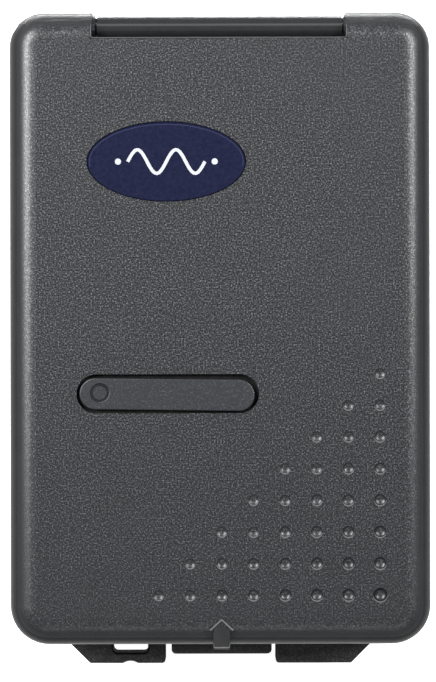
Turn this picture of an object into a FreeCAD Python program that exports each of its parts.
"""A pocket electric meter in a flip-lid case.

The meter lies on its back: +Z is up through the lid, +Y points at the hinge and the origin is
the middle of the footprint, on the surface that the rubber feet stand on. All sizes are in
millimetres and live in the spreadsheet "sizes"; every sub-part reads them by name.
"""
import FreeCAD
import Part
import Sketcher
import math
import os
import re

# ---------------------------------------------------------------- driving dimensions
# (name in the sheet, value, what it is)
SIZES = [
    ("case_width", 82.4, "lid, side to side"),
    ("case_length", 123.83, "lid, hinge end to latch end"),
    ("case_mid_y", 2.785, "middle of the lid along Y"),
    ("case_height", 30.0, "feet to the top of the lid"),
    ("hinge_corner", 6.8, "corner radius in plan at the hinge end"),
    ("latch_corner", 7.7, "corner radius in plan at the latch end"),
    ("edge_round", 5.5, "rounding of the lid's top edge"),
    ("lid_wall", 1.8, "lid wall and skin"),
    ("lid_rim", 19.0, "height of the lid's lower rim"),
    ("lid_gap", 0.3, "between the lid's rim and the front case"),
    ("face_top", "=lid_rim - lid_gap", "top of the front case"),
    ("case_inset", 0.3, "how far the base stands in from the lid"),
    ("case_wall", 2.0, "side walls of the two base mouldings"),
    ("case_split", 11.0, "joint between front and rear case"),
    ("feet_height", 0.8, "rear case above the table"),
    ("rear_floor", 2.0, "floor of the rear case"),
    ("rear_round", 3.0, "rounding of the rear case's lower edge"),
    ("face_skin", 1.8, "thickness of the face"),
    ("face_under", "=face_top - face_skin", "underside of the face"),
    ("hinge_y", 61.69, "hinge axis"),
    ("hinge_z", 25.2, "hinge axis"),
    ("pin_radius", 1.0, "hinge pin"),
    ("pin_fit", 0.02, "pin pressed into the lid's knuckles"),
    ("pin_run", 0.06, "pin running in the barrel"),
    ("pin_left", 39.4, "pin's outer end beyond the middle"),
    ("pin_right", 33.0, "pin's blind end beyond the middle"),
    ("barrel_radius", 2.3, "hinge barrel on the front case"),
    ("barrel_length", 47.93, "hinge barrel"),
    ("notch_x", -0.15, "middle of the lid's notch around the barrel"),
    ("notch_width", 49.54, "lid's notch"),
    ("notch_depth", 5.31, "lid's notch from the hinge end"),
    ("notch_y", "=case_mid_y + case_length / 2 - notch_depth", "lid's wall beside the barrel"),
    ("notch_bevel", 0.3, "bevel along the notch's upper edges"),
    ("notch_wall", 2.1, "that wall's thickness"),
    ("knuckle_radius", 2.6, "lid's knuckles beside the notch"),
    ("knuckle_end", 34.3, "knuckles' outer ends"),
    ("neck_back", 1.9, "neck's rear face behind the hinge axis"),
    ("neck_front", 1.95, "neck's front face before the hinge axis"),
    ("scoop_radius", 7.2, "room in the face for the lid's end wall as it turns"),
    ("badge_x", -10.37, "badge centre"),
    ("badge_y", 35.2, "badge centre"),
    ("badge_long", 15.42, "badge half length"),
    ("badge_short", 7.72, "badge half height"),
    ("badge_sink", 0.6, "recess under the badge"),
    ("badge_thick", 0.35, "badge plate"),
    ("strip_x", -10.18, "inlay strip centre"),
    ("strip_y", -9.92, "inlay strip centre"),
    ("strip_length", 34.15, "inlay strip"),
    ("strip_height", 6.2, "inlay strip"),
    ("strip_moat_x", 0.675, "gap round the strip, along it"),
    ("strip_moat_y", 0.705, "gap round the strip, across it"),
    ("strip_sink", 2.4, "depth of the strip's recess"),
    ("strip_thick", 2.05, "inlay strip"),
    ("strip_pad", 1.8, "thickening of the lid under the recess"),
    ("strip_skew", -0.7, "degrees the inlay sits askew in its recess"),
    ("strip_shift_x", -0.14, "inlay from the middle of its recess"),
    ("strip_shift_y", -0.16, "inlay from the middle of its recess"),
    ("peg_radius", 0.8, "strip's two heat-staked pegs"),
    ("peg_spacing", 22.0, "between the pegs"),
    ("ring_x", -23.25, "ring mark on the strip"),
    ("ring_outer", 1.72, "ring mark"),
    ("ring_inner", 1.32, "ring mark"),
    ("ring_depth", 0.3, "ring mark"),
    ("dimple_rows", 8, "rows of the dimple triangle"),
    ("dimple_pitch", 6.15, "between dimples, both ways"),
    ("dimple_x", 31.03, "right-hand column"),
    ("dimple_y", -49.07, "front row"),
    ("dimple_ball", 1.6, "radius of the ball that makes a dimple"),
    ("dimple_edge", 0.37, "depth of the dimples along the slanting edge"),
    ("dimple_deepen", 0.033, "deeper by this for each step from that edge"),
    ("dimple_corner", 0.8, "depth of the dimple in the corner"),
    ("arrow_tip_y", -53.6, "arrow on the lid's front edge"),
    ("arrow_head", 4.6, "arrow head's width"),
    ("arrow_head_length", 2.1, "arrow head"),
    ("arrow_line", 0.55, "width of the arrow head's ridge"),
    ("arrow_shaft", 3.25, "arrow shaft's width"),
    ("arrow_reach", 0.55, "shaft in front of the lid"),
    ("arrow_raise", 0.12, "arrow above the lid's top"),
    ("latch_x", 0.2, "arrow and latch key from the middle"),
    ("hook_width", 10.0, "lid's latch hook"),
    ("hook_front", -55.4, "hook's front face"),
    ("hook_thick", 0.7, "hook's shank"),
    ("barb_reach", 0.7, "barb behind the shank"),
    ("hook_tip_z", 11.2, "hook's lower end"),
    ("barb_top_z", 12.05, "barb's upper face"),
    ("key_width", 20.0, "latch key"),
    ("key_front", -62.15, "latch key's outer end"),
    ("key_back", -51.9, "latch key's inner end"),
    ("key_low", 12.2, "latch key's underside"),
    ("key_high", 16.2, "latch key's top"),
    ("key_corner", 0.9, "latch key's outer corners"),
    ("key_gap", 0.3, "latch key in its window"),
    ("key_window_front", -57.9, "opening for the hook"),
    ("key_window_back", -53.9, "catch bar's front face"),
    ("spring_radius", 1.3, "latch spring's coil"),
    ("spring_wire", 0.22, "latch spring's wire radius"),
    ("spring_turns", 5, "latch spring"),
    ("spring_stop_y", -47.4, "rib behind the latch spring"),
    ("lug_inner", 11.1, "guard lugs' inner side"),
    ("lug_outer", 26.25, "guard lugs' outer corner"),
    ("lug_front", -64.6, "guard lugs' outer end"),
    ("lug_low", 5.5, "guard lugs' underside"),
    ("lug_high", 11.0, "guard lugs' top"),
    ("lug_corner", 0.7, "guard lugs' rounded corner"),
    ("strap_x", -18.15, "strap slot centre"),
    ("strap_y", -60.9, "strap slot centre"),
    ("strap_length", 7.0, "strap slot"),
    ("strap_width", 3.2, "strap slot"),
    ("strap_corner", 0.9, "strap slot"),
    ("strap_bevel", 0.35, "bevel round the strap slot's upper edge"),
    ("gate_radius", 2.7, "shallow moulding notch in the strap lug"),
    ("gate_depth", 0.45, "shallow moulding notch"),
    ("gate_x", -18.15, "shallow moulding notch centre"),
    ("window_y", 38.0, "display centre"),
    ("window_width", 59.0, "display window"),
    ("window_height", 31.0, "display window"),
    ("window_thick", 1.2, "display window"),
    ("window_corner", 2.0, "display window"),
    ("view_width", 54.0, "opening behind the window"),
    ("view_height", 26.0, "opening behind the window"),
    ("glass_thick", 1.2, "liquid crystal cell"),
    ("overlay_width", 73.0, "face label"),
    ("overlay_back", 57.2, "face label's hinge end"),
    ("overlay_front", -33.5, "face label's front end"),
    ("overlay_thick", 0.3, "face label"),
    ("overlay_corner", 3.0, "face label"),
    ("board_width", 63.0, "circuit board"),
    ("board_front", -45.5, "circuit board"),
    ("board_back", 57.5, "circuit board"),
    ("board_low", 12.5, "circuit board's underside"),
    ("board_thick", 1.6, "circuit board"),
    ("board_top", "=board_low + board_thick", "circuit board's upper side"),
    ("knob_y", -11.0, "rotary switch centre"),
    ("knob_radius", 16.5, "rotary knob"),
    ("knob_low", 19.1, "rotary knob's underside"),
    ("knob_disc", 3.0, "rotary knob's disc"),
    ("grip_height", 3.0, "grip above the disc"),
    ("grip_width", 8.0, "grip"),
    ("hub_radius", 5.0, "knob's hub"),
    ("hub_run", 0.08, "hub in the face"),
    ("wiper_radius", 15.0, "contact carrier"),
    ("wiper_low", 14.6, "contact carrier's underside"),
    ("wiper_thick", 2.1, "contact carrier"),
    ("detent_radius", 16.25, "inside of the detent ring"),
    ("detent_wall", 1.6, "detent ring"),
    ("detent_step", 30.0, "degrees between positions"),
    ("ball_radius", 0.6, "detent balls"),
    ("button_y", 14.0, "row of buttons"),
    ("button_pitch", 16.5, "between buttons"),
    ("button_length", 11.0, "button"),
    ("button_height", 5.4, "button"),
    ("button_top", 20.2, "button's top"),
    ("button_gap", 0.2, "button in the face"),
    ("flange_thick", 0.8, "button's flange"),
    ("jack_y", -39.0, "row of input jacks"),
    ("jack_pitch", 19.0, "between input jacks"),
    ("jack_bore", 2.05, "socket for a 4 mm plug, radius"),
    ("jack_outer", 3.1, "socket sleeve"),
    ("jack_bottom", 4.0, "socket sleeve's closed end"),
    ("jack_collar", 5.4, "coloured collar"),
    ("screw_x", 35.4, "case screws"),
    ("screw_back_y", 51.0, "case screws at the hinge end"),
    ("screw_front_y", -46.5, "case screws at the latch end"),
    ("boss_radius", 3.1, "screw bosses"),
    ("screw_shank", 1.25, "case screws"),
    ("screw_head", 2.4, "case screws"),
    ("cell_radius", 5.2, "battery cells"),
    ("cell_length", 44.0, "battery cells"),
    ("cell_z", 7.2, "battery cells' axis"),
    ("cell_y", 32.0, "middle of the two cells"),
    ("cell_pitch", 11.2, "between the cells"),
    ("bay_half_x", 25.6, "battery bay inside"),
    ("bay_half_y", 11.4, "battery bay inside"),
    ("rib_thick", 1.2, "battery bay ribs"),
    ("door_thick", 0.95, "battery door"),
    ("door_margin", 1.6, "ledge round the battery door"),
    ("door_gap", 0.15, "battery door in its opening"),
    ("foot_x", 31.5, "rubber feet"),
    ("foot_back_y", 57.5, "rubber feet"),
    ("foot_front_y", -52.6, "rubber feet"),
    ("foot_length", 8.0, "rubber feet"),
    ("foot_width", 4.5, "rubber feet"),
    ("foot_sink", 0.5, "rubber feet's recess"),
]
NAMES = {name for name, value, note in SIZES}

doc = FreeCAD.newDocument("flip_lid_meter")
sheet = doc.addObject("Spreadsheet::Sheet", "sizes")
for row, (name, value, note) in enumerate(SIZES, 1):
    sheet.set(f"A{row}", note)
    sheet.set(f"B{row}", str(value))
    sheet.setAlias(f"B{row}", name)
doc.recompute()

Vector = FreeCAD.Vector
Constraint = Sketcher.Constraint
TO_X = FreeCAD.Rotation(Vector(0, 1, 0), 90)
TO_Y = FreeCAD.Rotation(Vector(1, 0, 0), -90)
UPRIGHT = FreeCAD.Rotation()
nodes = []


# ---------------------------------------------------------------- helpers
def formula(text):
    """The text with every size's name pointed at the sheet."""
    return re.sub(r"[a-z][a-z_]*", lambda m: "sizes." + m[0] if m[0] in NAMES else m[0], str(text))


def number(text):
    """The value of a formula, in millimetres."""
    return float(sheet.evalExpression(formula(text)))


def node(thing):
    """Marks an object of the document as a sub-part that gets a file of its own."""
    nodes.append(thing)
    return thing


def new_body(label):
    return doc.addObject("PartDesign::Body", label)


def new_sketch(body, height=0, plane="XY_Plane"):
    """A sketch on one of the body's origin planes, moved along that plane's normal."""
    support = next(o for o in body.Origin.OriginFeatures if o.Role == plane)
    sketch = body.newObject("Sketcher::SketchObject", body.Label + "_sketch")
    sketch.AttachmentSupport = (support, [""])
    sketch.MapMode = "FlatFace"
    sketch.setExpression("AttachmentOffset.Base.z", formula(height))
    return sketch


def drive(sketch, constraint, text):
    """Adds a constraint whose value follows a formula."""
    index = sketch.addConstraint(constraint)
    name = f"size_{index}"
    sketch.renameConstraint(index, name)
    sketch.setExpression("Constraints." + name, formula(text))


def hold(sketch, geometry, point, x, y):
    """Holds a point of the sketch at x, y from its origin."""
    drive(sketch, Constraint("DistanceX", -1, 1, geometry, point, number(x)), x)
    drive(sketch, Constraint("DistanceY", -1, 1, geometry, point, number(y)), y)


def add_polygon(sketch, points):
    corners = [Vector(number(x), number(y), 0) for x, y in points]
    first = sketch.GeometryCount
    count = len(corners)
    for i in range(count):
        sketch.addGeometry(Part.LineSegment(corners[i], corners[(i + 1) % count]), False)
    for i in range(count):
        sketch.addConstraint(Constraint("Coincident", first + i, 2, first + (i + 1) % count, 1))
    for i, (x, y) in enumerate(points):
        hold(sketch, first + i, 1, x, y)
    return sketch


def add_rectangle(sketch, low_x, low_y, high_x, high_y):
    return add_polygon(sketch, [(low_x, low_y), (high_x, low_y), (high_x, high_y), (low_x, high_y)])


def add_circle(sketch, x, y, radius):
    centre = Vector(number(x), number(y), 0)
    index = sketch.addGeometry(Part.Circle(centre, Vector(0, 0, 1), number(radius)), False)
    hold(sketch, index, 3, x, y)
    drive(sketch, Constraint("Radius", index, number(radius)), radius)
    return sketch


def add_rounded(sketch, low_x, low_y, high_x, high_y, low_radius, high_radius=None):
    """A rectangle with round corners; the two at high Y may have a radius of their own."""
    high_radius = low_radius if high_radius is None else high_radius
    x0, y0, x1, y1 = number(low_x), number(low_y), number(high_x), number(high_y)
    r, s = number(low_radius), number(high_radius)
    up = Vector(0, 0, 1)
    first = sketch.GeometryCount
    for start, end in (
        (Vector(x0 + s, y1), Vector(x1 - s, y1)),
        (Vector(x1, y1 - s), Vector(x1, y0 + r)),
        (Vector(x1 - r, y0), Vector(x0 + r, y0)),
        (Vector(x0, y0 + r), Vector(x0, y1 - s)),
    ):
        sketch.addGeometry(Part.LineSegment(start, end), False)
    for x, y, radius, quarter in (
        (x1 - s, y1 - s, s, 0),
        (x1 - r, y0 + r, r, 3),
        (x0 + r, y0 + r, r, 2),
        (x0 + s, y1 - s, s, 1),
    ):
        turn = quarter * math.pi / 2
        arc = Part.ArcOfCircle(Part.Circle(Vector(x, y, 0), up, radius), turn, turn + math.pi / 2)
        sketch.addGeometry(arc, False)
    top, right, bottom, left, arc_a, arc_b, arc_c, arc_d = range(first, first + 8)
    for line, line_end, arc, arc_end in (
        (top, 2, arc_a, 2), (right, 1, arc_a, 1), (right, 2, arc_b, 2), (bottom, 1, arc_b, 1),
        (bottom, 2, arc_c, 2), (left, 1, arc_c, 1), (left, 2, arc_d, 2), (top, 1, arc_d, 1),
    ):
        sketch.addConstraint(Constraint("Tangent", line, line_end, arc, arc_end))
    for line, kind in ((top, "Horizontal"), (right, "Vertical"), (bottom, "Horizontal"), (left, "Vertical")):
        sketch.addConstraint(Constraint(kind, line))
    sketch.addConstraint(Constraint("Equal", arc_a, arc_d))
    sketch.addConstraint(Constraint("Equal", arc_b, arc_c))
    drive(sketch, Constraint("Radius", arc_a, s), high_radius)
    drive(sketch, Constraint("Radius", arc_c, r), low_radius)
    hold(sketch, arc_a, 3, f"({high_x}) - ({high_radius})", f"({high_y}) - ({high_radius})")
    hold(sketch, arc_c, 3, f"({low_x}) + ({low_radius})", f"({low_y}) + ({low_radius})")
    return sketch


def add_slot(sketch, x, y, length, height):
    """A long hole with round ends, lying along X."""
    cx, cy, r = number(x), number(y), number(height) / 2
    reach = number(length) / 2 - r
    up = Vector(0, 0, 1)
    half = math.pi / 2
    right = sketch.addGeometry(
        Part.ArcOfCircle(Part.Circle(Vector(cx + reach, cy, 0), up, r), -half, half), False)
    left = sketch.addGeometry(
        Part.ArcOfCircle(Part.Circle(Vector(cx - reach, cy, 0), up, r), half, 3 * half), False)
    top = sketch.addGeometry(Part.LineSegment(Vector(cx + reach, cy + r), Vector(cx - reach, cy + r)), False)
    bottom = sketch.addGeometry(
        Part.LineSegment(Vector(cx - reach, cy - r), Vector(cx + reach, cy - r)), False)
    for line, line_end, arc, arc_end in (
        (top, 1, right, 2), (top, 2, left, 1), (bottom, 1, left, 2), (bottom, 2, right, 1),
    ):
        sketch.addConstraint(Constraint("Tangent", line, line_end, arc, arc_end))
    sketch.addConstraint(Constraint("Equal", left, right))
    drive(sketch, Constraint("Radius", right, r), f"({height}) / 2")
    hold(sketch, right, 3, f"({x}) + (({length}) - ({height})) / 2", y)
    hold(sketch, left, 3, f"({x}) - (({length}) - ({height})) / 2", y)
    return sketch


def add_outline(sketch, inset):
    """The case's outline in plan, set in from the lid's by a distance."""
    half = f"case_width / 2 - ({inset})"
    return add_rounded(
        sketch, f"-({half})", f"case_mid_y - case_length / 2 + ({inset})",
        half, f"case_mid_y + case_length / 2 - ({inset})",
        f"latch_corner - ({inset})", f"hinge_corner - ({inset})",
    )


def pad(body, sketch, length, down=False):
    feature = body.newObject("PartDesign::Pad", body.Label + "_pad")
    feature.Profile = sketch
    feature.Reversed = down
    feature.setExpression("Length", formula(length))
    doc.recompute()
    return feature


def pocket(body, sketch, depth, up=False):
    """Cuts a sketch into the body, down from it or up, and makes sure that it did cut."""
    before = body.Shape.Volume
    feature = body.newObject("PartDesign::Pocket", body.Label + "_pocket")
    feature.Profile = sketch
    feature.Reversed = up
    feature.setExpression("Length", formula(depth))
    doc.recompute()
    if not feature.Shape.Volume < before - 1e-6:
        raise RuntimeError(f"{feature.Name} cuts nothing")
    return feature


def edges_where(shape, test):
    """Names of the edges whose bounding box passes a test."""
    return [f"Edge{i}" for i, edge in enumerate(shape.Edges, 1) if test(edge.BoundBox)]


def round_edges(body, radius, test, kind="Fillet"):
    """A fillet, or a chamfer, along the edges of the body's last feature that pass a test."""
    last = body.Tip
    feature = body.newObject("PartDesign::" + kind, f"{body.Label}_{kind.lower()}")
    feature.Base = (last, edges_where(last.Shape, test))
    feature.setExpression("Radius" if kind == "Fillet" else "Size", formula(radius))
    doc.recompute()
    return feature


def level(box, height):
    """True for a box that is flat and lies at a height."""
    return abs(box.ZMin - height) < 1e-4 and abs(box.ZMax - height) < 1e-4


def place(thing, x, y, z, turn=UPRIGHT):
    thing.Placement = FreeCAD.Placement(Vector(), turn)
    for axis, text in zip("xyz", (x, y, z)):
        thing.setExpression("Placement.Base." + axis, formula(text))
    return thing


def cylinder(label, radius, height, x, y, z, turn=UPRIGHT):
    thing = doc.addObject("Part::Cylinder", label)
    thing.setExpression("Radius", formula(radius))
    thing.setExpression("Height", formula(height))
    return place(thing, x, y, z, turn)


def ball(label, radius, x, y, z):
    thing = doc.addObject("Part::Sphere", label)
    thing.setExpression("Radius", formula(radius))
    return place(thing, x, y, z)


def block(label, low, high):
    """A box between two corners, each given as three formulas."""
    thing = doc.addObject("Part::Box", label)
    for side, a, b in zip(("Length", "Width", "Height"), low, high):
        thing.setExpression(side, formula(f"({b}) - ({a})"))
    return place(thing, *low)


def cut(label, base, *tools):
    thing = doc.addObject("Part::Cut", label)
    thing.Base = base
    thing.Tool = tools[0] if len(tools) == 1 else fuse(label + "_tools", *tools)
    doc.recompute()
    return thing


def fuse(label, *parts):
    thing = doc.addObject("Part::MultiFuse", label)
    thing.Shapes = list(parts)
    doc.recompute()
    return thing


def group(label, *parts):
    """Identical pieces that stay separate solids in one node."""
    thing = doc.addObject("Part::Compound", label)
    thing.Links = list(parts)
    doc.recompute()
    return thing


def coil(label, radius, wire, length, turns, x, y, z, turn=UPRIGHT):
    """A coil spring: a round wire swept along a helix."""
    spine = doc.addObject("Part::Helix", label + "_line")
    spine.setExpression("Radius", formula(radius))
    spine.setExpression("Height", formula(length))
    spine.setExpression("Pitch", formula(f"({length}) / ({turns})"))
    spine.SegmentLength = 1
    section = doc.addObject("Part::Circle", label + "_wire")
    section.setExpression("Radius", formula(wire))
    section.Placement = FreeCAD.Placement(Vector(number(radius), 0, 0), FreeCAD.Rotation(Vector(1, 0, 0), 90))
    section.setExpression("Placement.Base.x", formula(radius))
    doc.recompute()
    sweep = doc.addObject("Part::Sweep", label)
    sweep.Sections = [section]
    sweep.Spine = (spine, [f"Edge{i}" for i in range(1, len(spine.Shape.Edges) + 1)])
    sweep.Solid = True
    sweep.Frenet = True
    doc.recompute()
    return place(sweep, x, y, z, turn)


# ---------------------------------------------------------------- lid
def rim_pad(body, sketch_maker, low, high, *arguments):
    """A pad between two heights from one of the outline makers."""
    sketch = sketch_maker(new_sketch(body, low), *arguments)
    return pad(body, sketch, f"({high}) - ({low})")


def lid_moulding():
    body = new_body("lid_moulding")
    ceiling = "case_height - lid_wall"
    rim_pad(body, add_outline, "lid_rim", "case_height", 0)
    round_edges(body, "edge_round", lambda box: level(box, number("case_height")))
    sketch = add_outline(new_sketch(body, "lid_rim"), "lid_wall")
    pocket(body, sketch, f"{ceiling} - lid_rim", up=True)
    round_edges(body, "edge_round - lid_wall", lambda box: level(box, number(ceiling)))
    lid_hinge_end(body)
    lid_hook(body)
    lid_strip_seat(body)
    lid_arrow(body)
    return body


def lid_hinge_end(body):
    """The end wall steps inward round the barrel, with a knuckle for the pin on each side."""
    flank = "notch_width / 2 + lid_wall"
    end = "case_mid_y + case_length / 2 - lid_wall + 0.1"
    rim_pad(body, add_rectangle, "lid_rim", "case_height - lid_wall * 0.9",
            f"notch_x - ({flank})", "notch_y - notch_wall", f"notch_x + {flank}", end)
    sketch = new_sketch(body, "lid_rim")
    add_rectangle(sketch, "notch_x - notch_width / 2", "notch_y",
                  "notch_x + notch_width / 2", "notch_y + 2 * notch_depth")
    pocket(body, sketch, "case_height", up=True)
    lid_notch_bevels(body)
    sketch = new_sketch(body, "notch_x + notch_width / 2", "YZ_Plane")
    add_circle(sketch, "hinge_y", "hinge_z", "knuckle_radius")
    pocket(body, sketch, "notch_width")
    inner = "barrel_length / 2 + 0.3"
    for start in (inner, "-knuckle_end"):
        sketch = new_sketch(body, start, "YZ_Plane")
        add_circle(sketch, "hinge_y", "hinge_z", "knuckle_radius - 0.2")
        pad(body, sketch, f"knuckle_end - ({inner})")
    sketch = new_sketch(body, "pin_right + 0.1", "YZ_Plane")
    add_circle(sketch, "hinge_y", "hinge_z", "pin_radius + pin_fit")
    pocket(body, sketch, "case_width")


def lid_notch_bevels(body):
    """The bevel along the notch's inner edge, and one along each of its two flanks."""
    top = "case_height + 0.01"
    foot = "case_height - notch_bevel - 0.1"
    sketch = new_sketch(body, "notch_x + notch_width / 2", "YZ_Plane")
    add_polygon(sketch, [("notch_y - notch_bevel", top), ("notch_y + 0.1", top), ("notch_y + 0.1", foot)])
    pocket(body, sketch, "notch_width")
    for side in ("-", "+"):
        flank = f"notch_x {side} notch_width / 2"
        hollow = f"{flank} {'+' if side == '-' else '-'} 0.1"
        sketch = new_sketch(body, "notch_bevel - notch_y", "XZ_Plane")
        add_polygon(sketch, [(f"{flank} {side} notch_bevel", top), (hollow, top), (hollow, foot)])
        pocket(body, sketch, "notch_depth + notch_bevel")


def lid_hook(body):
    """A flat hook behind the front wall, reaching down into the latch key."""
    root = "case_mid_y - case_length / 2 + lid_wall - 0.2"
    back = "hook_front + hook_thick"
    top = "case_height - lid_wall - 0.3"
    profile = [
        (root, top), (root, "lid_rim + 1"), ("hook_front", "lid_rim + 1"), ("hook_front", "hook_tip_z"),
        (back, "hook_tip_z"), (f"{back} + barb_reach", "barb_top_z - 0.3"),
        (f"{back} + barb_reach", "barb_top_z"), (back, "barb_top_z"), (back, top),
    ]
    sketch = add_polygon(new_sketch(body, "-hook_width / 2", "YZ_Plane"), profile)
    pad(body, sketch, "hook_width")


def lid_strip_seat(body):
    """The long recess for the inlay strip, with a thicker wall under it and two peg holes."""
    under = "case_height - lid_wall - strip_pad"
    rim_pad(body, add_slot, under, "case_height - lid_wall * 0.9",
            "strip_x", "strip_y", "strip_length + 4", "strip_height + 4")
    sketch = new_sketch(body, "case_height")
    add_slot(sketch, "strip_x", "strip_y",
             "strip_length + 2 * strip_moat_x", "strip_height + 2 * strip_moat_y")
    pocket(body, sketch, "strip_sink")
    sketch = new_sketch(body, "case_height")
    for side in (-1, 1):
        add_circle(sketch, f"strip_x + {side} * peg_spacing / 2", "strip_y", "peg_radius + 0.5")
    pocket(body, sketch, "strip_sink + lid_wall + strip_pad")


def lid_arrow(body):
    """A raised arrow on the front edge: a ridge for its head, a slab for its shaft."""
    tip, drop, line = "arrow_tip_y", "arrow_head_length", "arrow_line"
    end = "case_mid_y - case_length / 2 - arrow_reach"
    half, shaft = "arrow_head / 2", "arrow_shaft / 2"
    rim_pad(body, add_polygon, "case_height - 1.4", "case_height + arrow_raise", [
        ("latch_x", tip), (f"latch_x + {half}", f"{tip} - {drop}"),
        (f"latch_x + {half} - {line} * 0.6", f"{tip} - {drop} - {line} * 0.7"),
        ("latch_x", f"{tip} - {line} * 1.3"),
        (f"latch_x - {half} + {line} * 0.6", f"{tip} - {drop} - {line} * 0.7"),
        (f"latch_x - {half}", f"{tip} - {drop}"),
    ])
    shoulder = f"{tip} - {drop} - {line} * 0.3"
    left, right = f"latch_x - {shaft}", f"latch_x + {shaft}"
    rim_pad(body, add_polygon, "case_height - 1.6", "case_height - 0.1", [
        (right, end), (right, shoulder), ("latch_x", f"{tip} - {line}"), (left, shoulder), (left, end),
    ])
    rim_pad(body, add_rectangle, "lid_rim + 1.5", "case_height - 0.1", left, end, right, f"{end} + 1.8")
    front, top = number(end), number("case_height - 0.1")
    round_edges(body, 0.7, lambda box: level(box, top) and abs(box.YMax - front) < 1e-4)


def oval_prism(label, grow, low, high):
    """A plate with the badge's outline, grown by a distance, between two heights."""
    line = doc.addObject("Part::Ellipse", label + "_line")
    line.setExpression("MajorRadius", formula(f"badge_long + {grow}"))
    line.setExpression("MinorRadius", formula(f"badge_short + {grow}"))
    place(line, "badge_x", "badge_y", low)
    prism = doc.addObject("Part::Extrusion", label)
    prism.Base = line
    prism.DirMode = "Normal"
    prism.Solid = True
    prism.setExpression("LengthFwd", formula(f"({high}) - ({low})"))
    doc.recompute()
    return prism


def dimples():
    """Balls that leave a triangle of dimples, each row one shorter than the row in front of it."""
    rows = int(number("dimple_rows"))
    balls = []
    for row in range(rows):
        for column in range(rows - row):
            steps = rows - 1 - row - column
            depth = f"(dimple_edge + {steps} * dimple_deepen)" if row + column else "dimple_corner"
            balls.append(ball(
                f"dimple_{row}_{column}", "dimple_ball", f"dimple_x - {column} * dimple_pitch",
                f"dimple_y + {row} * dimple_pitch", f"case_height - {depth} + dimple_ball"))
    return group("dimple_balls", *balls)


def build_lid():
    badge_seat = oval_prism("badge_seat", 0.12, "case_height - badge_sink", "case_height + 1")
    node(cut("lid_shell", lid_moulding(), group("lid_cutters", dimples(), badge_seat)))
    node(cylinder("hinge_pin", "pin_radius", "pin_left + pin_right", "-pin_left", "hinge_y", "hinge_z", TO_X))


def build_badge():
    plate = oval_prism("badge_blank", 0, "case_height - badge_sink", "case_height - badge_sink + badge_thick")
    chamfer = doc.addObject("Part::Chamfer", "badge_plate")
    chamfer.Base = plate
    top = number("case_height - badge_sink + badge_thick")
    edge = next(i for i, e in enumerate(plate.Shape.Edges, 1) if level(e.BoundBox, top))
    chamfer.Edges = [(edge, 0.12, 0.12)]
    doc.recompute()
    return node(chamfer)


def build_strip():
    body = new_body("inlay_strip")
    low = "case_height - strip_sink + 0.05"
    high = f"{low} + strip_thick"
    rim_pad(body, add_slot, low, high, "strip_x", "strip_y", "strip_length", "strip_height")
    round_edges(body, 0.3, lambda box: level(box, number(high)))
    sketch = new_sketch(body, "case_height - strip_sink - lid_wall")
    for side in (-1, 1):
        add_circle(sketch, f"strip_x + {side} * peg_spacing / 2", "strip_y", "peg_radius")
    pad(body, sketch, "lid_wall + 0.1")
    sketch = new_sketch(body, high)
    add_circle(sketch, "ring_x", "strip_y + 0.18", "ring_outer")
    add_circle(sketch, "ring_x", "strip_y + 0.18", "ring_inner")
    pocket(body, sketch, "ring_depth")
    top, outer = number(high), 2 * number("ring_outer")
    round_edges(body, 0.2, lambda box: level(box, top) and abs(box.XLength - outer) < 0.01, "Chamfer")
    centre = Vector(number("strip_x"), number("strip_y"), 0)
    turn = FreeCAD.Rotation(Vector(0, 0, 1), number("strip_skew"))
    shift = Vector(number("strip_shift_x"), number("strip_shift_y"), 0)
    body.Placement = FreeCAD.Placement(shift, turn, centre)
    return node(body)


# ---------------------------------------------------------------- front case
CORNERS = [(sx, y) for sx in ("", "-") for y in ("screw_back_y", "screw_front_y")]
POSTS = [(x, y) for x in (-28.5, 28.5) for y in (3.5, -28.5)]
COLUMNS = (-1.5, -0.5, 0.5, 1.5)
JACKS = {"left": -1, "middle": 0, "right": 1}


def add_circles(sketch, points, radius):
    for x, y in points:
        add_circle(sketch, x, y, radius)
    return sketch


def screw_points():
    return [(f"{sign}screw_x", y) for sign, y in CORNERS]


def button_x(column):
    return f"{column} * button_pitch"


def build_front_case():
    body = new_body("front_case")
    rim_pad(body, add_outline, "case_split", "face_top", "case_inset")
    sketch = add_outline(new_sketch(body, "case_split"), "case_inset + case_wall")
    pocket(body, sketch, "face_under - case_split", up=True)
    front_case_bosses(body)
    front_case_hinge(body)
    front_case_detents(body)
    front_case_openings(body)
    return node(body)


def front_case_bosses(body):
    rim_pad(body, add_circles, "case_split", "face_under + 0.2", screw_points(), "boss_radius")
    sketch = add_circles(new_sketch(body, "case_split"), screw_points(), "screw_shank + 0.05")
    pocket(body, sketch, "face_under - case_split - 0.6", up=True)
    rim_pad(body, add_circles, "board_top", "face_under + 0.2", POSTS, 2.4)
    sketch = add_circles(new_sketch(body, "board_top"), POSTS, 1.0)
    pocket(body, sketch, "face_under - board_top - 0.4", up=True)
    rim_pad(body, add_rectangle, "case_split + 0.5", "face_under + 0.2",
            -4, "spring_stop_y", 4, "spring_stop_y + 1.2")


def front_case_hinge(body):
    half = "barrel_length / 2"
    rim_pad(body, add_rectangle, "face_top - 0.9", "hinge_z",
            f"-{half}", "hinge_y - neck_front", half, "hinge_y + neck_back")
    sketch = new_sketch(body, f"-{half}", "YZ_Plane")
    add_circle(sketch, "hinge_y", "hinge_z", "barrel_radius")
    pad(body, sketch, "barrel_length")
    sketch = new_sketch(body, half, "YZ_Plane")
    add_circle(sketch, "hinge_y", "hinge_z", "pin_radius + pin_run")
    pocket(body, sketch, "barrel_length")
    for start in ("case_width / 2", f"-{half} - 0.3"):
        sketch = new_sketch(body, start, "YZ_Plane")
        add_circle(sketch, "hinge_y", "hinge_z", "scoop_radius")
        pocket(body, sketch, f"case_width / 2 - {half} - 0.3")


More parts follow.
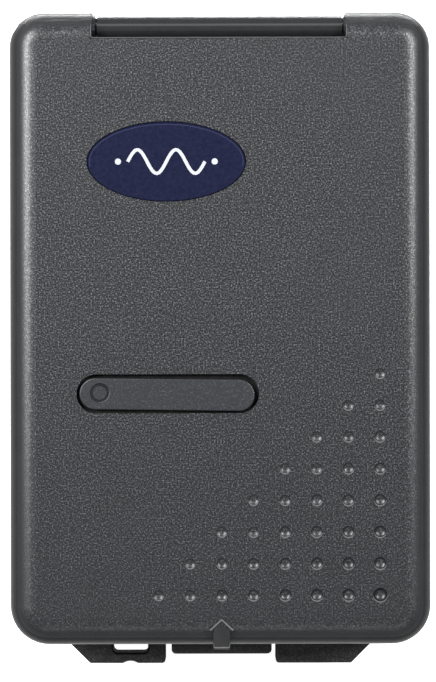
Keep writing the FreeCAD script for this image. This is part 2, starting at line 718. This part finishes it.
def front_case_openings(body):
    sketch = new_sketch(body, "face_top")
    label_outline(sketch, 0.1)
    pocket(body, sketch, "overlay_thick")
    sketch = new_sketch(body, "face_top")
    window_outline(sketch, "window_width / 2 + 0.1", "window_height / 2 + 0.1", "window_corner")
    pocket(body, sketch, "window_thick + 0.05")
    sketch = new_sketch(body, "face_top")
    window_outline(sketch, "view_width / 2", "view_height / 2", 1.0)
    pocket(body, sketch, "face_skin")
    sketch = new_sketch(body, "face_top")
    for column in COLUMNS:
        button_outline(sketch, column, "button_gap + 0.1")
    add_circle(sketch, 0, "knob_y", "hub_radius + hub_run")
    for side in JACKS.values():
        add_circle(sketch, f"{side} * jack_pitch", "jack_y", "jack_collar + 0.1")
    add_rectangle(sketch, "-hook_width / 2 - 0.5", "key_window_front + 0.7",
                  "hook_width / 2 + 0.5", "key_window_back + 0.3")
    pocket(body, sketch, "face_skin")
    sketch = new_sketch(body, "key_high + key_gap")
    wall = "case_mid_y - case_length / 2 + case_inset"
    add_rectangle(sketch, "latch_x - key_width / 2 - key_gap", f"{wall} - 1",
                  "latch_x + key_width / 2 + key_gap", f"{wall} + case_wall + 0.1")
    pocket(body, sketch, "key_high - key_low + 2 * key_gap")


def front_case_detents(body):
    """A ring under the face with a groove for every position of the rotary switch."""
    outer = "detent_radius + detent_wall"
    rim_pad(body, add_circles, "wiper_low", "face_under + 0.1", [(0, "knob_y")], outer)
    sketch = add_circle(new_sketch(body, "wiper_low"), 0, "knob_y", "detent_radius")
    pocket(body, sketch, "face_under - wiper_low", up=True)
    sketch = new_sketch(body, "wiper_low")
    for step in range(12):
        angle = f"{step} * detent_step"
        add_circle(sketch, f"detent_radius * cos({angle})", f"knob_y + detent_radius * sin({angle})", 0.7)
    pocket(body, sketch, "face_under - wiper_low", up=True)


# ---------------------------------------------------------------- face
def label_outline(sketch, grow):
    half = f"overlay_width / 2 + {grow}"
    add_rounded(sketch, f"-({half})", f"overlay_front - {grow}", half, f"overlay_back + {grow}",
                f"overlay_corner + {grow}")


def window_outline(sketch, half_x, half_y, corner):
    add_rounded(sketch, f"-({half_x})", f"window_y - ({half_y})", half_x, f"window_y + ({half_y})", corner)


def button_outline(sketch, column, grow, corner=1.2):
    x = button_x(column)
    half_x, half_y = f"(button_length / 2 + {grow})", f"(button_height / 2 + {grow})"
    add_rounded(sketch, f"{x} - {half_x}", f"button_y - {half_y}", f"{x} + {half_x}", f"button_y + {half_y}",
                corner)


def build_face():
    label = new_body("face_label")
    sketch = new_sketch(label, "face_top - overlay_thick")
    label_outline(sketch, 0)
    window_outline(sketch, "window_width / 2 + 0.3", "window_height / 2 + 0.3", "window_corner")
    for column in COLUMNS:
        button_outline(sketch, column, "button_gap + 0.3")
    add_circle(sketch, 0, "knob_y", "hub_radius + 0.6")
    pad(label, sketch, "overlay_thick")
    node(label)
    window = new_body("display_window")
    sketch = new_sketch(window, "face_top - window_thick")
    window_outline(sketch, "window_width / 2", "window_height / 2", "window_corner")
    pad(window, sketch, "window_thick")
    node(window)


def build_buttons():
    for index, column in enumerate(COLUMNS, 1):
        body = new_body(f"button_{index}")
        flange_top = "face_under - 0.3"
        sketch = new_sketch(body, f"{flange_top} - flange_thick")
        button_outline(sketch, column, 0.9)
        pad(body, sketch, "flange_thick")
        sketch = new_sketch(body, flange_top)
        button_outline(sketch, column, 0)
        pad(body, sketch, f"button_top - ({flange_top})")
        round_edges(body, 0.7, lambda box: level(box, number("button_top")))
        sketch = new_sketch(body, f"{flange_top} - flange_thick")
        add_circle(sketch, button_x(column), "button_y", 1.2)
        pad(body, sketch, 0.5, down=True)
        node(body)
    domes = [cylinder(f"dome_{i}", 2.6, 0.5, button_x(c), "button_y", "board_top")
             for i, c in enumerate(COLUMNS)]
    node(group("key_switches", *domes))


def build_display():
    frame = new_body("lcd_frame")
    sketch = new_sketch(frame, "board_top")
    window_outline(sketch, 30.2, 16.4, 1.0)
    window_outline(sketch, 28.3, 14.3, 0.5)
    pad(frame, sketch, "face_under - board_top - 0.1")
    node(frame)
    node(block("lcd_cell", (-28, "window_y - 14", "face_under - 0.05 - glass_thick"),
               (28, "window_y + 14", "face_under - 0.05")))
    strips = [block(f"zebra_{side}", (-26, f"window_y + {side} * 12.7 - 0.9", "board_top"),
                    (26, f"window_y + {side} * 12.7 + 0.9", "face_under - 0.1 - glass_thick"))
              for side in (-1, 1)]
    node(group("zebra_strips", *strips))
    node(block("backlight", (-27, "window_y - 11.2", "board_top + 0.05"),
               (27, "window_y + 11.2", "face_under - 0.2 - glass_thick")))


# ---------------------------------------------------------------- rotary switch
def build_knob():
    body = new_body("rotary_knob")
    top = "knob_low + knob_disc"
    rim_pad(body, add_circle, "knob_low", top, 0, "knob_y", "knob_radius")
    round_edges(body, 1.0, lambda box: level(box, number(top)), "Chamfer")
    half_x, half_y = "grip_width / 2", "(knob_radius - 1.4)"
    rim_pad(body, add_rounded, top, f"{top} + grip_height",
            f"-{half_x}", f"knob_y - {half_y}", half_x, f"knob_y + {half_y}", f"{half_x} - 0.2")
    round_edges(body, 0.8, lambda box: level(box, number(f"{top} + grip_height")))
    sketch = new_sketch(body, f"{top} + grip_height")
    add_rectangle(sketch, -0.6, "knob_y + knob_radius - 8.5", 0.6, "knob_y + knob_radius - 3")
    pocket(body, sketch, 0.5)
    sketch = add_circle(new_sketch(body, "knob_low"), 0, "knob_y", "hub_radius")
    pad(body, sketch, "knob_low - wiper_low - wiper_thick", down=True)
    sketch = new_sketch(body, "wiper_low + wiper_thick")
    add_rectangle(sketch, -2.5, "knob_y - 2.5", 2.5, "knob_y + 2.5")
    pad(body, sketch, "wiper_thick - 0.3", down=True)
    return node(body)


def build_wiper():
    body = new_body("wiper_carrier")
    middle = "wiper_low + wiper_thick / 2"
    rim_pad(body, add_circle, "wiper_low", "wiper_low + wiper_thick", 0, "knob_y", "wiper_radius")
    sketch = new_sketch(body, "wiper_low")
    add_rectangle(sketch, -2.55, "knob_y - 2.55", 2.55, "knob_y + 2.55")
    pocket(body, sketch, "wiper_thick", up=True)
    for start in ("wiper_radius", "-wiper_radius + 4"):
        sketch = add_circle(new_sketch(body, start, "YZ_Plane"), "knob_y", middle, "ball_radius + 0.05")
        pocket(body, sketch, 4)
    node(body)
    balls = [ball(f"detent_ball_{side}", "ball_radius", f"{side} * (wiper_radius + 0.3)", "knob_y", middle)
             for side in (-1, 1)]
    node(group("detent_balls", *balls))
    springs = [coil("detent_spring_right", 0.42, 0.1, 2.9, 6, "wiper_radius - 3.75", "knob_y", middle, TO_X),
               coil("detent_spring_left", 0.42, 0.1, 2.9, 6, "-wiper_radius + 0.85", "knob_y", middle, TO_X)]
    node(group("detent_springs", *springs))
    node(group("wiper_contacts", *[wiper_strip(step) for step in range(3)]))


def wiper_strip(step):
    """A flat contact under the carrier, turned about the switch's axis."""
    angle = 90 + 120 * step
    low = "wiper_low - 0.2"
    strip = block(f"wiper_strip_{step}", (0, 0, low), (9, 1.2, "wiper_low"))
    turn = FreeCAD.Rotation(Vector(0, 0, 1), angle)
    x = f"4.5 * cos({angle}) + 0.6 * sin({angle})"
    y = f"knob_y + 4.5 * sin({angle}) - 0.6 * cos({angle})"
    return place(strip, x, y, low, turn)


# ---------------------------------------------------------------- latch
def build_latch():
    body = new_body("latch_key")
    wall = "case_mid_y - case_length / 2 + case_inset + case_wall"
    half = "key_width / 2"
    rim_pad(body, add_rounded, "key_low", "key_high",
            f"latch_x - {half}", "key_front", f"latch_x + {half}", "key_back", "key_corner", 0.2)
    rim_pad(body, add_rectangle, "key_low", "key_high",
            f"latch_x - {half} - 1.5", f"{wall} + 0.3", f"latch_x + {half} + 1.5", "key_back")
    sketch = new_sketch(body, "key_high")
    add_rectangle(sketch, "-hook_width / 2 - 0.7", "key_window_front",
                  "hook_width / 2 + 0.7", "key_window_back")
    pocket(body, sketch, "key_high - key_low")
    front = number("key_front")
    round_edges(body, 0.5, lambda box: level(box, number("key_high")) and abs(box.YMax - front) < 1e-4)
    node(body)
    node(coil("latch_spring", "spring_radius", "spring_wire", "spring_stop_y - key_back - 0.54",
              "spring_turns", 0, "key_back + 0.27", "(key_low + key_high) / 2", TO_Y))


# ---------------------------------------------------------------- rear case
def build_rear_case():
    body = new_body("rear_case")
    rim_pad(body, add_outline, "feet_height", "case_split", "case_inset")
    round_edges(body, "rear_round", lambda box: level(box, number("feet_height")))
    sketch = add_outline(new_sketch(body, "case_split"), "case_inset + case_wall")
    pocket(body, sketch, "case_split - feet_height - rear_floor")
    for side in ("", "-"):
        add_lug(body, side)
    add_lug_details(body)
    rear_case_ribs(body)
    rear_case_openings(body)
    return node(body)


def add_lug(body, side):
    """One of the two guard lugs that stand out beside the latch key."""
    wall = "case_mid_y - case_length / 2 + case_inset + 0.6"
    points = [
        (f"{side}lug_inner", wall), (f"{side}lug_inner", "lug_front"), (f"{side}lug_outer", "lug_front"),
        (f"{side}(lug_outer + ({wall}) - lug_front)", wall),
    ]
    rim_pad(body, add_polygon, "lug_low", "lug_high", points)
    x, y = number(f"{side}lug_inner"), number("lug_front")
    round_edges(body, "lug_corner", lambda box: box.ZLength > 4 and box.DiagonalLength < box.ZLength + 1e-3
                and abs(box.XMin - x) < 1e-3 and abs(box.YMin - y) < 1e-3)


def add_lug_details(body):
    """The strap slot through one lug, the moulding notch in its end and the softened edges."""
    front, high = number("lug_front"), number("lug_high")
    sketch = new_sketch(body, "lug_high")
    add_circle(sketch, "gate_x", "lug_front + gate_depth - gate_radius", "gate_radius")
    pocket(body, sketch, "lug_high - lug_low")
    middle = number("gate_x")
    round_edges(body, 0.6, lambda box: box.ZLength > 4 and box.XLength < 0.01
                and abs(box.XMin - middle) < 2 and box.YMax < front + 0.5)
    round_edges(body, 0.3, lambda box: level(box, high) and box.YMax < front + 0.6)
    sketch = new_sketch(body, "lug_high")
    add_rounded(sketch, "strap_x - strap_length / 2", "strap_y - strap_width / 2",
                "strap_x + strap_length / 2", "strap_y + strap_width / 2", "strap_corner")
    pocket(body, sketch, "lug_high - lug_low")
    near, far = number("strap_y - strap_width / 2") - 0.01, number("strap_y + strap_width / 2") + 0.01
    round_edges(body, "strap_bevel", lambda box: level(box, high) and box.YMin > near and box.YMax < far
                and abs(box.Center.x - number("strap_x")) < number("strap_length"), "Chamfer")
    rim_pad(body, add_circle, "lug_high - 0.2", "lug_high + 0.15", "gate_x + 1", "lug_front + 1.3", 0.45)


def rear_case_ribs(body):
    floor = "feet_height + rear_floor"
    rim_pad(body, add_circles, f"{floor} - 0.5", "case_split", screw_points(), "boss_radius + 0.8")
    sketch = new_sketch(body, f"{floor} - 0.5")
    bay_outline(sketch, "rib_thick")
    bay_outline(sketch, 0)
    pad(body, sketch, "case_split - feet_height - rear_floor + 1.3")
    rim_pad(body, add_circles, f"{floor} - 0.5", 9, door_screw_points(), 4.6)
    for side in ("", "-"):
        rim_pad(body, add_rectangle, f"{floor} - 0.5", "key_low - 0.3",
                f"{side}(key_width / 2 + 1)", "spring_stop_y", f"{side}(key_width / 2 - 1)",
                "case_mid_y - case_length / 2 + case_inset + case_wall + 0.3")


def bay_outline(sketch, grow):
    half_x, half_y = f"(bay_half_x + {grow})", f"(bay_half_y + {grow})"
    add_rectangle(sketch, f"-{half_x}", f"cell_y - {half_y}", half_x, f"cell_y + {half_y}")


def door_screw_points():
    return [(0, f"cell_y + {side} * (bay_half_y + 5.2)") for side in (-1, 1)]


def door_outline(sketch, shrink):
    half_x, half_y = f"(bay_half_x + door_margin - {shrink})", f"(bay_half_y + 9.2 - {shrink})"
    add_rounded(sketch, f"-{half_x}", f"cell_y - {half_y}", half_x, f"cell_y + {half_y}", 2.0)


def foot_points():
    return [(f"{side}foot_x", y) for side in ("", "-") for y in ("foot_back_y", "foot_front_y")]


def foot_outline(sketch, x, y, grow):
    half_x, half_y = f"(foot_length / 2 + {grow})", f"(foot_width / 2 + {grow})"
    add_rounded(sketch, f"{x} - {half_x}", f"{y} - {half_y}", f"{x} + {half_x}", f"{y} + {half_y}", 1.5)


def rear_case_openings(body):
    sketch = new_sketch(body, "feet_height")
    door_outline(sketch, 0)
    pocket(body, sketch, "door_thick + 0.05", up=True)
    sketch = new_sketch(body, "feet_height")
    bay_outline(sketch, 0)
    pocket(body, sketch, "rear_floor", up=True)
    sketch = new_sketch(body, "feet_height")
    for x, y in foot_points():
        foot_outline(sketch, x, y, 0.1)
    pocket(body, sketch, "foot_sink", up=True)
    for points, radius, depth in (
        (screw_points(), "screw_head + 0.2", 5.0), (screw_points(), "screw_shank + 0.15", "case_split"),
        (door_screw_points(), 3.6, 2.5), (door_screw_points(), 1.0, 7.7),
    ):
        pocket(body, add_circles(new_sketch(body, "feet_height"), points, radius), depth, up=True)
    sketch = new_sketch(body, "feet_height")
    add_circles(sketch, [(20 + 3 * i, y) for i in (-1, 0, 1) for y in (-13.5, -10.5)], 0.6)
    pocket(body, sketch, "rear_floor", up=True)


def build_door():
    body = new_body("battery_door")
    sketch = new_sketch(body, "feet_height")
    door_outline(sketch, "door_gap")
    pad(body, sketch, "door_thick")
    rim_pad(body, add_circles, "feet_height + door_thick / 2", "feet_height + 2.4", door_screw_points(), 3.4)
    for radius, depth in ((2.5, 1.4), (1.25, 2.4)):
        sketch = add_circles(new_sketch(body, "feet_height"), door_screw_points(), radius)
        pocket(body, sketch, depth, up=True)
    return node(body)


def build_feet():
    feet = []
    for index, (x, y) in enumerate(foot_points()):
        body = new_body(f"foot_{index}")
        sketch = new_sketch(body, 0)
        foot_outline(sketch, x, y, 0)
        pad(body, sketch, "feet_height + foot_sink - 0.05")
        round_edges(body, 0.3, lambda box: level(box, 0))
        feet.append(body)
    return node(group("rubber_feet", *feet))


def screw(label, x, y, seat, head, head_height, shank, length):
    """A screw pointing up, its head hanging below the seat, with a cross recess."""
    top = cylinder(label + "_head", head, head_height, x, y, f"{seat} - {head_height}")
    stem = cylinder(label + "_stem", shank, f"{length} + 0.2", x, y, f"{seat} - 0.2")
    bars = []
    for index, (half_x, half_y) in enumerate(((1.2, 0.25), (0.25, 1.2))):
        low = f"{seat} - {head_height}"
        bars.append(block(f"{label}_bar_{index}", (f"{x} - {half_x}", f"{y} - {half_y}", low),
                          (f"{x} + {half_x}", f"{y} + {half_y}", f"{low} + 0.6")))
    return cut(label, fuse(label + "_blank", top, stem), *bars)


def build_screws():
    node(group("case_screws", *[
        screw(f"case_screw_{i}", x, y, "feet_height + 5", "screw_head", 1.5, "screw_shank", 9.5)
        for i, (x, y) in enumerate(screw_points())]))
    node(group("door_screws", *[
        screw(f"door_screw_{i}", x, y, "feet_height + 1.4", 2.2, 1.2, 0.97, 5.8)
        for i, (x, y) in enumerate(door_screw_points())]))
    node(group("board_screws", *[
        screw(f"board_screw_{i}", x, y, "board_low", 1.9, 1.1, 0.95, 3.6)
        for i, (x, y) in enumerate(POSTS)]))


# ---------------------------------------------------------------- batteries
def build_batteries():
    front, back = "cell_y - cell_pitch / 2", "cell_y + cell_pitch / 2"
    half = "cell_length / 2"
    spring = "(bay_half_x - 0.5 - cell_length / 2)"
    springs, plates = [], []
    for index, (y, side) in enumerate(((front, 1), (back, -1)), 1):
        shell = cylinder(f"cell_can_{index}", "cell_radius", "cell_length - 0.9",
                         f"-{half} + 0.45 - {side} * 0.45", y, "cell_z", TO_X)
        start = f"{half} - 1" if side > 0 else f"-{half}"
        nub = cylinder(f"cell_nub_{index}", 1.9, 1, start, y, "cell_z", TO_X)
        node(fuse(f"battery_cell_{index}", shell, nub))
        start = f"{side} * (-{half} - {spring} / 2) - ({spring} - 0.7) / 2"
        springs.append(coil(f"cell_spring_{index}", 2.4, 0.25, f"{spring} - 0.7", 2,
                            start, y, "cell_z", TO_X))
    for index, (side, low, high) in enumerate(((1, front, back), (-1, front, front), (-1, back, back))):
        x = f"{side} * (bay_half_x - 0.25)"
        plates.append(block(f"cell_plate_{index}", (f"{x} - 0.2", f"{low} - 4", "cell_z - 4"),
                            (f"{x} + 0.2", f"{high} + 4", "cell_z + 4")))
    node(group("contact_springs", *springs))
    node(group("contact_plates", *plates))


# ---------------------------------------------------------------- electronics
def build_board():
    body = new_body("main_board")
    rim_pad(body, add_rounded, "board_low", "board_top",
            "-board_width / 2", "board_front", "board_width / 2", "board_back", 1.5)
    sketch = add_circles(new_sketch(body, "board_top"), POSTS, 1.1)
    for side in JACKS.values():
        add_circle(sketch, f"{side} * jack_pitch", "jack_y", "jack_outer + 0.1")
    pocket(body, sketch, "board_thick")
    node(body)
    rings = []
    for index, (inner, outer) in enumerate(((5.5, 7.5), (9.0, 11.0), (12.0, 13.2))):
        blank = cylinder(f"track_blank_{index}", outer, 0.08, 0, "knob_y", "board_top")
        hole = cylinder(f"track_hole_{index}", inner, 0.08, 0, "knob_y", "board_top")
        rings.append(cut(f"track_{index}", blank, hole))
    node(group("contact_tracks", *rings))


def build_components():
    under = "board_low"
    node(block("controller_chip", (9, -1, f"{under} - 1.4"), (19, 9, under)))
    node(block("crystal", (-16, 0, f"{under} - 3.5"), (-5, 4.6, under)))
    node(cylinder("buzzer", 6, 4.5, 20, -12, f"{under} - 4.5"))
    node(cylinder("thermistor", 3.6, 2.6, -24, 10, f"{under} - 2.6"))
    legs = [cylinder(f"shunt_leg_{side}", 0.8, 3.6, 17 + 7 * side, -27.5, f"{under} - 3.6")
            for side in (-1, 1)]
    bridge = cylinder("shunt_bridge", 0.8, 15.6, 9.2, -27.5, f"{under} - 3.6", TO_X)
    node(fuse("shunt_wire", bridge, *legs))
    build_fuse()


def build_fuse():
    y, z = -20.0, "board_low - 3.6"
    node(cylinder("fuse_tube", 2.4, 18.6, -23.3, y, z, TO_X))
    caps, clips = [], []
    for index, start in enumerate((-24.0, -9.0)):
        end = start + 5
        blank = cylinder(f"fuse_cap_blank_{index}", 2.7, 5, start, y, z, TO_X)
        inside = cylinder(f"fuse_cap_hole_{index}", 2.45, 4.4, start + 0.6 * (1 - index), y, z, TO_X)
        caps.append(cut(f"fuse_cap_{index}", blank, inside))
        solid = block(f"clip_blank_{index}", (start + 0.7, y - 3.3, f"{z} - 2"),
                      (end - 0.7, y + 3.3, "board_low"))
        bore = cylinder(f"clip_bore_{index}", 2.75, 5, start, y, z, TO_X)
        gap = block(f"clip_gap_{index}", (start, y - 1.9, f"{z} - 3"), (end, y + 1.9, z))
        clips.append(cut(f"fuse_clip_{index}", solid, bore, gap))
    node(group("fuse_caps", *caps))
    node(group("fuse_clips", *clips))


def build_jacks():
    for name, side in JACKS.items():
        x = f"{side} * jack_pitch"
        length = "face_top - 0.5 - jack_bottom"
        sleeve = cylinder(f"sleeve_blank_{name}", "jack_outer", length, x, "jack_y", "jack_bottom")
        bore = cylinder(f"sleeve_bore_{name}", "jack_bore", length, x, "jack_y", "jack_bottom + 1")
        node(cut(f"jack_sleeve_{name}", sleeve, bore))
        body = new_body(f"jack_collar_{name}")
        rim_pad(body, add_circle, "face_under - 1.2", "face_under", x, "jack_y", "jack_collar + 0.8")
        rim_pad(body, add_circle, "face_under", "face_top + 0.5", x, "jack_y", "jack_collar")
        round_edges(body, 0.4, lambda box: level(box, number("face_top + 0.5")))
        sketch = add_circle(new_sketch(body, "face_under - 1.2"), x, "jack_y", "jack_outer + 0.05")
        pocket(body, sketch, "face_skin + 0.75", up=True)
        sketch = add_circle(new_sketch(body, "face_top"), x, "jack_y", "jack_bore + 0.35")
        pocket(body, sketch, "face_skin", up=True)
        sketch = add_circle(new_sketch(body, "face_top"), x, "jack_y", "jack_bore + 0.35")
        pocket(body, sketch, "face_skin")
        node(body)


# ---------------------------------------------------------------- build, check, export
def check_document():
    for thing in doc.Objects:
        if any(state in thing.State for state in ("Invalid", "Error")):
            raise RuntimeError(f"{thing.Label} is {thing.State}")
    for thing in nodes:
        if thing.Shape.isNull() or not thing.Shape.isValid() or not thing.Shape.Solids:
            raise RuntimeError(f"{thing.Label} has no sound shape")


def export():
    os.makedirs("parts", exist_ok=True)
    for thing in nodes:
        thing.Shape.exportStep(f"parts/{thing.Label}.step")


for build in (
    build_lid, build_badge, build_strip, build_front_case, build_face, build_buttons, build_display,
    build_knob, build_wiper, build_latch, build_rear_case, build_door, build_feet, build_screws,
    build_batteries, build_board, build_components, build_jacks,
):
    build()
doc.recompute()
check_document()
export()
